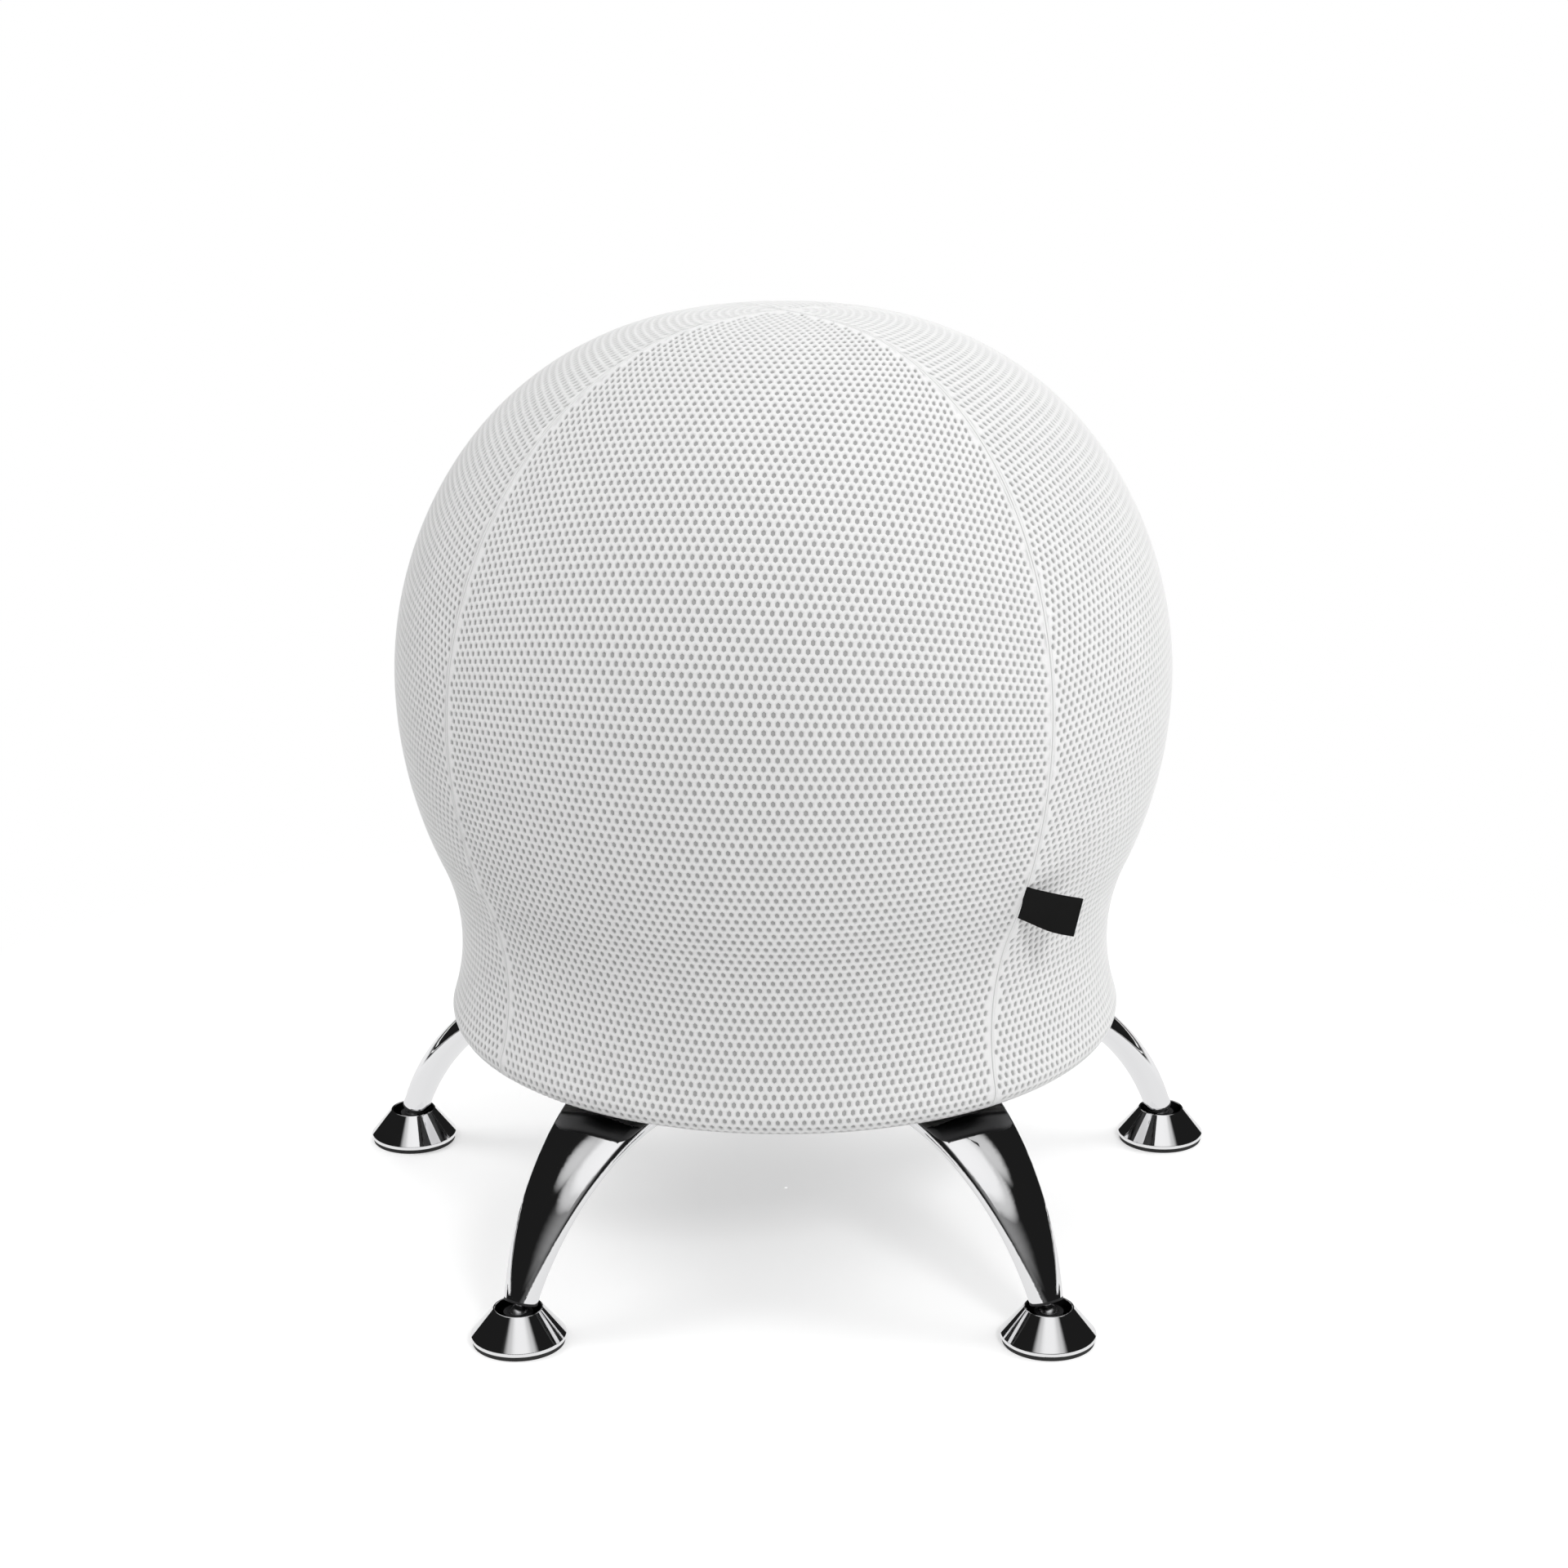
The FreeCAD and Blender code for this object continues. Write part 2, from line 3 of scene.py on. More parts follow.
import bmesh
import bpy
import numpy as np
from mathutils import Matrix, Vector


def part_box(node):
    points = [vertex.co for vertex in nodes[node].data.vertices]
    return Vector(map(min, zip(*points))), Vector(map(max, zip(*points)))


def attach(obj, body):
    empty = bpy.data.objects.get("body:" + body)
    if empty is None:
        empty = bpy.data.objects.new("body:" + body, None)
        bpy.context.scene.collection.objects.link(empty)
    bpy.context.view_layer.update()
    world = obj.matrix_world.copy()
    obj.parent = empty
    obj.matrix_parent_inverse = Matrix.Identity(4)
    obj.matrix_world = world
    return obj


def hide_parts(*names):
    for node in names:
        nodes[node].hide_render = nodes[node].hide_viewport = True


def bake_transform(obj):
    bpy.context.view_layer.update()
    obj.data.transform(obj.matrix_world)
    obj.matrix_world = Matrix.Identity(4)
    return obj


# Looks of the ball stool: a white mesh cover drawn over an air ball, on chromed legs with tilting bell feet.
# Lengths are in metres. The floor is z = 0, the front is -Y, and directions round the axis are counted
# from the front towards +X. A place on the cover is given by its length down from the pole, its direction
# round the axis and its lift outside the cover's face.

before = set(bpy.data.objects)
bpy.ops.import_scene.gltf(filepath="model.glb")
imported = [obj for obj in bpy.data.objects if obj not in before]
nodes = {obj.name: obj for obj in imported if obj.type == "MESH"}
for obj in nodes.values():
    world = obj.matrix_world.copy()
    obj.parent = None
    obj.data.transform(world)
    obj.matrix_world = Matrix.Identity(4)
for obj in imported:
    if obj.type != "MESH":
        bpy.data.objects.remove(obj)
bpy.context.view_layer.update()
mm = 0.001
full_turn = 2 * math.pi
foot_count = 5

# Cover's outer face, as arcs that run into one another
ring_low, ring_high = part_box("base_ring")
ring_tube_r = (ring_high.z - ring_low.z) / 2
ring_r = ring_high.x - ring_tube_r
ring_z = (ring_high.z + ring_low.z) / 2
soft_gap = 0.3 * mm
cover_thick = 2.5 * mm
seat_r = 249.8 * mm
seat_z = ring_z + 221.8 * mm
upper_side_r = 246.0 * mm
upper_side_turn = math.radians(35.0)
shoulder_r = 211.5 * mm
shoulder_turn = math.radians(83.8)
lower_side_r = 280.0 * mm
neck_r = 144.0 * mm
wrap_r = ring_tube_r + soft_gap + cover_thick
profile_spacing = 0.4 * mm
fewest_on_arc = 8

# Hem under the ring
hem_r = 3.9 * mm
hem_place = math.radians(-140.0)
hem_reach = ring_tube_r + soft_gap + hem_r
hem_centre = (ring_r + hem_reach * math.cos(hem_place), ring_z + hem_reach * math.sin(hem_place))
hem_gathers = 220
gather_depth = 0.07   # as a share of the hem's radius
gather_bias = 0.4     # how much deeper the gathers are on the hem's upper side
points_per_gather = 4
points_round_hem = 20
elastic_r = 2.5 * mm
elastic_crossings = 240
elastic_strands = 3
strand_base = 0.93    # as shares of the elastic's radius
strand_swell = 0.06
points_along_elastic = 1500
points_round_elastic = 12

# Gores: where each starts round the axis, and how its seam leans for each metre down the cover
seams = {"front": -54.0, "right": 38.5, "back": 127.5, "left": 217.0}
seam_leans = {"front": 0.0, "right": -14.8, "back": 0.0, "left": 0.0}
seam_level = 470.0 * mm
gore_reach = 0.6 * math.pi / 2   # more than half of the widest gore, as an angle

# Mesh: rows of six-sided holes, each row shifted by half a pitch
hole_pitch = 5.38 * mm
row_gap = 5.3 * mm
hole_half_width = 1.55 * mm
hole_half_height = 2.1 * mm
hole_taper = 0.86            # width of a hole's bottom as a share of its rim
hole_margin = 0.34 * hole_pitch  # least way from a hole's middle to the gore's edge
strand_drop = 0.3 * mm
hole_depth = 1.45 * mm
# Painted shade: the depth mark greys the hole walls towards their bottoms, and the seam lips where they drop
# into the seams
rim_shade = 0.25             # how far a hole's rim has darkened, where its bottom is 1
backing_depth = 1.3 * mm
backing_rows = 210
backing_columns = 220
sag_most = 2.6               # bow of a row, per metre
sag_ends = 480.0 * mm
sag_full = 160.0 * mm
sag_curve = 1.2
least_face = 1e-11           # square metres, below which a face is left out

# Seams: each gore's edge is a rounded lip that drops into the seam
seam_lip = 1.7 * mm
lip_lap = 1.25               # lip's width as a share of seam_lip, so that it laps under the mesh
most_inset = 0.5             # most of a gore that a lip takes near the pole, as an angle
pole_gap = 0.3 * mm
lip_rise = 0.12 * mm
lip_depth = 0.7 * mm
lip_rows = 260
lip_columns = 8

# Side tag: a folded ribbon in the right seam
tag_length = 35.5 * mm
tag_height = 23.0 * mm
tag_half_thick = 0.6 * mm
tag_half_gap = 0.2 * mm
tag_lean = math.radians(45.0)
tag_root_lean = math.radians(20.0)
tag_root_bend = 3.5 * mm
tag_wave = math.radians(-10.0)
tag_wave_start = 0.08        # as a share of the tag's length
tag_twist = math.radians(-33.0)
tag_drop = math.radians(20.0)
tag_sunk = 0.8 * mm          # how deep the root is sewn in
tag_path_points = 80
tag_ply_points = 70
tag_fold_points = 9
tag_height_points = 34

# Threads: the ribbon's, and the slant of the knitted loops
ribbon_thread = 0.42 * mm
knit_slant = math.radians(32.0)

# Ball and its valve plug
ball_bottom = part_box("ball")[0].z
ball_in_cover = cover_thick + soft_gap
ball_heel_r = 60.0 * mm
ball_rib = 0.35 * mm
ball_rib_pitch = 9.0 * mm
ribs_start = 40.0 * mm       # down from the pole
points_round_ball = 120
heel_points = 30
bottom_points = 14
plug_low, plug_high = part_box("valve_plug")
plug_r = plug_high.x
drawn_plug_r = 11.0          # in the stopper's outline, whose places are in millimetres
points_round_plug = 96
valve_bore_r = 5.0 * mm
valve_bore_lip = 1.0 * mm
valve_bore_depth = 6.0 * mm

# Surroundings that polished metal shows: a dome whose greys follow the degrees from the middle of a light
sky_r = 5.0
sky_rings = 40
sky_top_gap = 0.001          # left open at the top of the dome, as an angle
sky_greys = [(0.0, 0.97), (18.0, 0.93), (26.0, 0.6), (35.0, 0.012), (60.0, 0.005), (179.0, 0.004)]
dark_from = sky_greys[3][0]
# Its lights: direction round the axis, degrees above the horizon, degrees to the edge, share of brightness
sky_lights = [
    (7.0, 66.0, 180.0, 1.0),
    (0.0, 30.0, 40.0, 0.2),
    (187.0, 57.0, 27.0, 1.0),
    (-70.0, 63.0, 17.0, 0.5),
    (82.0, 63.0, 17.0, 0.5),
]
# Ground that polished metal shows, whose greys follow the way out from the stool as a share of its reach
ground_reach = 2.5
ground_z = -1.0 * mm
ground_greys = [(0.0, 0.7), (0.12, 0.85), (0.3, 0.9), (0.6, 0.06), (0.7, 0.01)]
ground_rings = (1.0 * mm, ground_reach)
points_round_glow = 96

# Floor, and how much whiter it looks near the stool than its own light makes it
floor_grey = 0.76
floor_lift = 0.4
floor_z = -0.1 * mm
floor_rings = (1.0 * mm, 0.4, 1.0, 12.0)
points_round_floor = 64
floor_white_from = 0.35      # where the shaded floor starts to give way to plain white
floor_white_at = 0.8

# Light: the surroundings' strength, and lamps by place, size and watts, aimed at the middle of the stool
room_light = 0.62
aim_z = 0.3
lamps = {
    "key": ((0.9, -2.1, 1.8), 0.5, 18.5),
    "top": ((0.2, 0.3, 2.6), 1.8, 1.5),
    "left": ((-2.1, 0.1, 2.7), 1.4, 24.0),
    "right": ((2.2, 0.1, 1.7), 1.4, 21.0),
    "back": ((0.3, 2.4, 1.9), 1.4, 12.0),
}

# Camera, fitted to the photograph
lens_mm = 73.97
camera_distance = 2.107
camera_rise = math.radians(17.36)
camera_turn = math.radians(0.51)
camera_roll = math.radians(-0.28)
target_z = 0.2878
sensor_mm = 36.0


def build(name, points, *face_sets):
    """Object whose mesh has the given points and faces, each set of faces with its own number of corners."""
    corners = np.concatenate([f.ravel() for f in face_sets])
    sizes = np.concatenate([np.full(len(f), f.shape[1]) for f in face_sets])
    starts = np.concatenate([[0], np.cumsum(sizes)[:-1]])
    mesh = bpy.data.meshes.new(name)
    mesh.vertices.add(len(points))
    mesh.vertices.foreach_set("co", np.asarray(points, np.float32).ravel())
    mesh.loops.add(len(corners))
    mesh.loops.foreach_set("vertex_index", corners.astype(np.int32))
    mesh.polygons.add(len(sizes))
    mesh.polygons.foreach_set("loop_start", starts.astype(np.int32))
    mesh.update(calc_edges=True)
    mesh.validate()
    mesh.shade_smooth()
    piece = bpy.data.objects.new(name, mesh)
    bpy.context.scene.collection.objects.link(piece)
    return piece


def lay_flat(piece, places):
    """Gives a piece its map of flat places, one (across, along) pair in metres for each point."""
    mesh = piece.data
    corners = np.zeros(len(mesh.loops), np.int32)
    mesh.loops.foreach_get("vertex_index", corners)
    mesh.uv_layers.new(name="cut").data.foreach_set("uv", places[corners].astype(np.float32).ravel())


def mark(piece, name, values):
    """Gives a piece one named number for each point."""
    mark_layer = piece.data.attributes.new(name, "FLOAT", "POINT")
    mark_layer.data.foreach_set("value", values.astype(np.float32))


def close_pole(piece):
    """Joins the points that lie on one spot, so that a ring of them becomes one pole."""
    joined = bmesh.new()
    joined.from_mesh(piece.data)
    bmesh.ops.remove_doubles(joined, verts=joined.verts, dist=0.001 * mm)
    joined.to_mesh(piece.data)
    joined.free()


def grid_faces(rows, cols, rows_meet=False, cols_meet=False):
    """Four-sided faces of a grid of points, row by row; a direction that meets itself is closed."""
    i = np.arange(rows if rows_meet else rows - 1)[:, None]
    j = np.arange(cols if cols_meet else cols - 1)[None, :]
    after_i = (i + 1) % rows
    after_j = (j + 1) % cols
    quads = [i * cols + j, i * cols + after_j, after_i * cols + after_j, after_i * cols + j]
    return np.stack([q + 0 * (i + j) for q in quads], -1).reshape(-1, 4)


def cover_face():
    """Cover's outer face in the profile plane: (length from the pole, radius, height, normal out, normal up).

    Six arcs follow one another and touch: crown, shoulder, upper side, lower side, hollow neck, wrap round
    the ring. A point is an arc's middle plus its radius times (cos, sin) of an angle, and the normal is that
    direction, turned round on the neck, whose middle lies outside.
    """
    upper = (seat_r - upper_side_r, seat_z)
    lower = (seat_r - lower_side_r, seat_z)
    step = upper_side_r - shoulder_r
    shoulder = (upper[0] + step * math.cos(upper_side_turn), upper[1] + step * math.sin(upper_side_turn))
    crown_r = shoulder_r + shoulder[0] / math.cos(shoulder_turn)
    crown = (0.0, shoulder[1] + (shoulder_r - crown_r) * math.sin(shoulder_turn))
    from_lower = lower_side_r + neck_r
    from_ring = wrap_r + neck_r
    across = (ring_r - lower[0], ring_z - lower[1])
    apart = math.hypot(*across)
    along = (from_lower ** 2 - from_ring ** 2 + apart ** 2) / (2 * apart)
    beside = math.sqrt(from_lower ** 2 - along ** 2)
    neck = (lower[0] + (along * across[0] - beside * across[1]) / apart,
            lower[1] + (along * across[1] + beside * across[0]) / apart)
    leave = math.atan2(neck[1] - lower[1], neck[0] - lower[0])
    meet = math.atan2(neck[1] - ring_z, neck[0] - ring_r)
    wrap_end = hem_place + math.asin((hem_r + soft_gap) / hem_reach)
    arcs = [
        (crown, crown_r, math.pi / 2, shoulder_turn, 1),
        (shoulder, shoulder_r, shoulder_turn, upper_side_turn, 1),
        (upper, upper_side_r, upper_side_turn, 0.0, 1),
        (lower, lower_side_r, 0.0, leave, 1),
        (neck, neck_r, leave + math.pi, meet + math.pi, -1),
        ((ring_r, ring_z), wrap_r, meet, wrap_end, 1),
    ]
    found = []
    for middle, radius, first, last, side in arcs:
        count = max(fewest_on_arc, int(abs(last - first) * radius / profile_spacing))
        a = np.linspace(first, last, count)
        out, rise = np.cos(a), np.sin(a)
        found.append(np.stack([middle[0] + radius * out, middle[1] + radius * rise, side * out, side * rise]))
    r, z, out, rise = np.concatenate(found, 1)
    length = np.concatenate([[0.0], np.cumsum(np.hypot(np.diff(r), np.diff(z)))])
    return length, r, z, out, rise


face_length, face_r, face_z, face_out, face_rise = cover_face()
cover_end = face_length[-1]


def radius_at(length):
    """Radius of the cover's face a length down from the pole."""
    return np.interp(length, face_length, face_r)


def on_cover(length, turn, lift):
    """Points a lift outside the cover's face: the profile's point plus lift times its normal, swung round."""
    r = radius_at(length) + lift * np.interp(length, face_length, face_out)
    z = np.interp(length, face_length, face_z) + lift * np.interp(length, face_length, face_rise)
    return swung(r, z, turn)


def swung(r, z, turn):
    """Points at a radius and a height, swung round the axis."""
    r, z, turn = np.broadcast_arrays(r, z, turn)
    return np.stack([r * np.sin(turn), -r * np.cos(turn), z], -1)


def lathe(outline, count):
    """Points of an outline of (radius, height) pairs swung round the axis, one ring of them for each pair."""
    turn = np.linspace(0, full_turn, count, endpoint=False)
    outline = np.asarray(outline)
    return swung(outline[:, 0, None], outline[:, 1, None], turn)


def build_rings(name, points, runs_down=False, rows_meet=False):
    """Object from closed rings of points; where they run down or outward, its faces are turned over."""
    faces = grid_faces(*points.shape[:2], rows_meet, True)
    return build(name, points.reshape(-1, 3), faces[:, ::-1] if runs_down else faces)


def seam_at(name, length):
    """Direction of a seam down the cover: its own place plus its lean times the way past seam_level."""
    return np.radians(seams[name] + seam_leans[name] * (length - seam_level))


def row_sag(length):
    """How much a row of holes bows down to its sides: full near the pole, fading out to the waist."""
    share = np.clip((sag_ends - length) / (sag_ends - sag_full), 0, 1)
    return sag_most * share ** sag_curve


def mesh_gore(name):
    """One gore of the mesh: a honeycomb of cells, each with a six-sided hole, and a lip along each seam.

    In the flat cut, cell centres lie a pitch apart in rows, and a place (across, along) lands on the cover
    a length along + sag * across ** 2 / 2 down, and across / radius round from the gore's middle. Places past
    a seam slide back along their row to the gore's edge. Each cell has six shared corners on the face, and a
    holed one has six points on the rim of its hole and six at its bottom. A lip is a strip that rises by a
    half sine and then drops into the seam by the fifth power of the way across it.
    """
    names = list(seams)
    following = names[(names.index(name) + 1) % len(names)]
    whole = full_turn if names.index(following) == 0 else 0.0
    middle = (math.radians(seams[name]) + math.radians(seams[following]) + whole) / 2

    def edges_at(length):
        inset = np.minimum(seam_lip / np.maximum(radius_at(length), mm), most_inset)
        return seam_at(name, length) + inset, seam_at(following, length) + whole - inset

    def land(across, along, lift):
        length = np.clip(along + row_sag(along) * across ** 2 / 2, pole_gap, cover_end)
        low, high = edges_at(length)
        turn = np.clip(middle + across / radius_at(length), low, np.maximum(low, high))
        return on_cover(length, turn, lift)

    # Honeycomb: a cell's corners are the upper tips of itself and two neighbours, and the lower tips of three
    columns = int(gore_reach * np.max(face_r) / hole_pitch) + 2
    rows = int(cover_end / row_gap) + 3
    row, col = np.meshgrid(np.arange(-2, rows), np.arange(-columns, columns + 1), indexing="ij")
    odd = row % 2
    centre_across = (col + 0.5 * odd) * hole_pitch
    centre_along = row * row_gap
    tip = 2 * row_gap / 3
    cells = row.size
    inner = (slice(1, -1), slice(1, -1))
    here = np.arange(cells).reshape(row.shape)[inner]
    below = here + row.shape[1] + odd[inner]
    above = cells + here - row.shape[1] + odd[inner]
    corners = np.stack([here, above, below, cells + here, below - 1, above - 1], -1).reshape(-1, 6)
    across = np.tile(centre_across.ravel(), 2)
    along = np.concatenate([(centre_along - tip).ravel(), (centre_along + tip).ravel()])
    face_points = land(across, along, 0.0)

    # Which cells lie on the gore, and which of them have holes
    ca = centre_across[inner].ravel()
    cl = centre_along[inner].ravel()
    down = cl + row_sag(cl) * ca ** 2 / 2
    length = np.clip(down, 0, cover_end)
    low, high = edges_at(length)
    turn = ca / np.maximum(radius_at(length), mm)
    from_edge = np.minimum(middle + turn - low, high - middle - turn) * radius_at(length)
    inside = (cl > -row_gap) & (down < cover_end + row_gap)
    holed = inside & (from_edge > hole_margin) & (length < cover_end - row_gap) & (length > 2 * row_gap)
    plain = inside & ~holed & (from_edge > -hole_pitch)

    # Holes: a web from the corners to the rim, and a wall from the rim to the bottom
    angle = np.radians(np.array([-90, -30, 30, 90, 150, 210]))
    reach_across = hole_half_width * np.cos(angle)
    reach_along = hole_half_height * np.sin(angle)
    rim_across, rim_along = ca[holed, None] + reach_across, cl[holed, None] + reach_along
    bottom_across = ca[holed, None] + hole_taper * reach_across
    bottom_along = cl[holed, None] + hole_taper * reach_along
    rim = land(rim_across, rim_along, -strand_drop)
    bottom = land(bottom_across, bottom_along, -hole_depth)
    count = int(holed.sum())
    rim_index = 2 * cells + np.arange(6 * count).reshape(count, 6)
    bottom_index = rim_index + 6 * count
    after = np.roll(np.arange(6), -1)
    outer = corners[holed]
    web = np.stack([outer, rim_index, rim_index[:, after], outer[:, after]], -1).reshape(-1, 4)
    wall = np.stack([rim_index, bottom_index, bottom_index[:, after], rim_index[:, after]], -1).reshape(-1, 4)

    # Lips along both seams
    steps = np.linspace(pole_gap, cover_end, lip_rows)[:, None]
    share = np.linspace(0, 1, lip_columns)[None, :]
    lip_lift = lip_rise * np.sin(math.pi * share) - lip_depth * share ** 5 - strand_drop * (1 - share) ** 3
    lips = []
    lip_flat = []
    for seam, way in ((name, 1.0), (following, -1.0)):
        edge = seam_at(seam, steps) + (whole if way < 0 else 0.0)
        inset = np.minimum(lip_lap * seam_lip / np.maximum(radius_at(steps), mm), most_inset)
        turns = edge + way * inset * (1 - share)
        lips.append(on_cover(steps, turns, lip_lift))
        lip_flat.append(np.stack([(turns - middle) * radius_at(steps), steps + 0 * turns], -1))
    lip_faces = grid_faces(lip_rows, lip_columns)
    base = 2 * cells + 12 * count

    points = np.concatenate([p.reshape(-1, 3) for p in (face_points, rim, bottom, *lips)])
    flat = np.concatenate([f.reshape(-1, 2) for f in (
        np.stack([across, along], -1), np.stack([rim_across, rim_along], -1),
        np.stack([bottom_across, bottom_along], -1), *lip_flat)])
    # Painted shade: each point's depth mark, from 0 on the face to 1 at a hole's bottom or deep in a seam,
    # greys the mesh there
    lip_shade = np.clip(-lip_lift / lip_depth, 0, 1).ravel()
    depth = np.concatenate([
        np.zeros(2 * cells), np.full(6 * count, rim_shade), np.ones(6 * count),
        np.tile(lip_shade, 2 * lip_rows)])
    quads = np.concatenate([
        web, wall, base + lip_faces[:, ::-1], base + lip_rows * lip_columns + lip_faces])
    patch = corners[plain][:, ::-1]
    quads = quads[face_area(points, quads) > least_face]
    patch = patch[face_area(points, patch) > least_face]
    used, packed = np.unique(np.concatenate([quads.ravel(), patch.ravel()]), return_inverse=True)
    gore = build("mesh_" + name, points[used], packed[:quads.size].reshape(quads.shape),
                 packed[quads.size:].reshape(patch.shape))
    lay_flat(gore, flat[used])
    mark(gore, "depth", depth[used])
    strip = (seam_at(following, face_length) + whole - seam_at(name, face_length)) * face_r
    return gore, (float(strip.max()), float(cover_end)), cut_area(strip)


def cut_area(widths):
    """Flat area of a strip that runs down the whole cover with the given widths along it."""
    return float(np.sum((widths[1:] + widths[:-1]) / 2 * np.diff(face_length)))


def face_area(points, faces):
    """Area of each face: half the length of the sum of the cross products of its edges from one corner."""
    first = points[faces[:, 0]]
    total = np.zeros_like(first)
    for k in range(1, faces.shape[1] - 1):
        total += np.cross(points[faces[:, k]] - first, points[faces[:, k + 1]] - first)
    return np.linalg.norm(total, axis=1) / 2


def backing():
    """Knitted back layer that closes the holes: the cover's face moved in by the backing's depth."""
    length = np.linspace(0.0, cover_end, backing_rows)[:, None]
    turn = np.linspace(0, full_turn, backing_columns, endpoint=False)[None, :]
    piece = build_rings("mesh_backing", on_cover(length, turn, -backing_depth), runs_down=True)
    flat = np.stack(np.broadcast_arrays(turn * seat_r, length), -1)
    lay_flat(piece, flat.reshape(-1, 2))
    close_pole(piece)
    return piece


def hem():
    """Gathered hem: a ring of round section whose radius swells by a fine sine round the axis."""
    turn = np.linspace(0, full_turn, points_per_gather * hem_gathers, endpoint=False)[:, None]
    around = np.linspace(0, full_turn, points_round_hem, endpoint=False)[None, :]
    bias = 1 - gather_bias + gather_bias * np.sin(around)
    swell = hem_r * (1 - gather_depth * (1 - np.cos(hem_gathers * turn)) * bias)
    points = swung(hem_centre[0] + swell * np.cos(around), hem_centre[1] + swell * np.sin(around), turn)
    return build_rings("hem_tunnel", points, rows_meet=True)


def elastic():
    """Braided elastic: a ring of round section with two crossing sets of strands, each a sine on a helix."""
    turn = np.linspace(0, full_turn, points_along_elastic, endpoint=False)[:, None]
    around = np.linspace(0, full_turn, points_round_elastic, endpoint=False)[None, :]
    along, across = elastic_crossings * turn, elastic_strands * around
    strands = np.maximum(np.sin(along + across), np.sin(along - across))
    section = elastic_r * (strand_base + strand_swell * strands)
    points = swung(hem_centre[0] + section * np.cos(around), hem_centre[1] + section * np.sin(around), turn)
    return build_rings("hem_elastic_cord", points, rows_meet=True)


def tag_ribbon():
    """Folded ribbon that stands out of the right seam: a hairpin path carried down the tag's height.

    The path's angle from the cover's normal starts at the root's lean, eases to the tag's lean by an
    exponential and waves once by a sine. The ribbon's outer and inner faces lie half a thickness and half a
    gap either side of the path, joined by half rounds at the fold. A point is the root plus the path plus the
    way down times the down direction, which twists about the tag's reach by a smooth step from root to tip.
    """
    along = np.linspace(0, tag_length, tag_path_points)
    share = along / tag_length
    angle = tag_lean + (tag_root_lean - tag_lean) * np.exp(-along / tag_root_bend)
    angle = angle + tag_wave * np.sin(full_turn * (share - tag_wave_start)) * share ** 0.5
    step = tag_length / (tag_path_points - 1)
    ahead = np.concatenate([[0.0], np.cumsum(np.cos(angle[:-1]) * step)]) - tag_sunk
    beside = np.concatenate([[0.0], np.cumsum(np.sin(angle[:-1]) * step)])

    def hairpin(half):
        fold = np.linspace(0, math.pi, tag_fold_points)[1:-1]
        straight = np.linspace(0, tag_length - half, tag_ply_points)
        place = np.concatenate([straight, tag_length - half + half * np.sin(fold), straight[::-1]])
        ply = np.full(tag_ply_points, half)
        return place, np.concatenate([ply, half * np.cos(fold), -ply])

    outer, inner = hairpin(tag_half_thick), hairpin(tag_half_gap)
    place = np.concatenate([outer[0], inner[0][::-1]])
    side = np.concatenate([outer[1], inner[1][::-1]])
    lean = np.interp(place, along, angle)
    out_by = np.interp(place, along, ahead) - side * np.sin(lean)
    side_by = np.interp(place, along, beside) + side * np.cos(lean)
    seam_turn = math.radians(seams["right"])
    radial = np.array([math.sin(seam_turn), -math.cos(seam_turn), 0.0])
    upward = np.array([0.0, 0.0, 1.0])
    sideways = np.array([math.cos(seam_turn), math.sin(seam_turn), 0.0])
    outward = radial * math.cos(tag_drop) - upward * math.sin(tag_drop)
    downward = -radial * math.sin(tag_drop) - upward * math.cos(tag_drop)
    reach = outward * math.cos(tag_lean) + sideways * math.sin(tag_lean)
    across = np.cross(reach, downward)
    root = radial * (seat_r - lower_side_r) + upward * seat_z + outward * lower_side_r
    turn_by = tag_twist * (3 * (place / tag_length) ** 2 - 2 * (place / tag_length) ** 3)
    down = downward * np.cos(turn_by)[:, None] + across * np.sin(turn_by)[:, None]
    height = np.linspace(-tag_height / 2, tag_height / 2, tag_height_points)
    line = root + outward * out_by[:, None] + sideways * side_by[:, None]
    points = line[:, None] + down[:, None] * height[None, :, None]
    rows, cols = points.shape[:2]
    half = rows // 2
    first = np.arange(half - 1)
    rim = np.stack([first, first + 1, rows - 2 - first, rows - 1 - first], -1) * cols
    faces = np.concatenate([
        grid_faces(rows, cols, rows_meet=True)[:, ::-1], rim, rim[:, ::-1] + cols - 1])
    piece = build("side_tag_ribbon", points.reshape(-1, 3), faces)
    travelled = np.where(np.arange(half) < half // 2, outer[0], 2 * tag_length - outer[0])
    travelled = np.concatenate([travelled, travelled[::-1]])
    flat = np.stack(np.broadcast_arrays(travelled[:, None], height[None, :]), -1)
    lay_flat(piece, flat.reshape(-1, 2))
    return piece


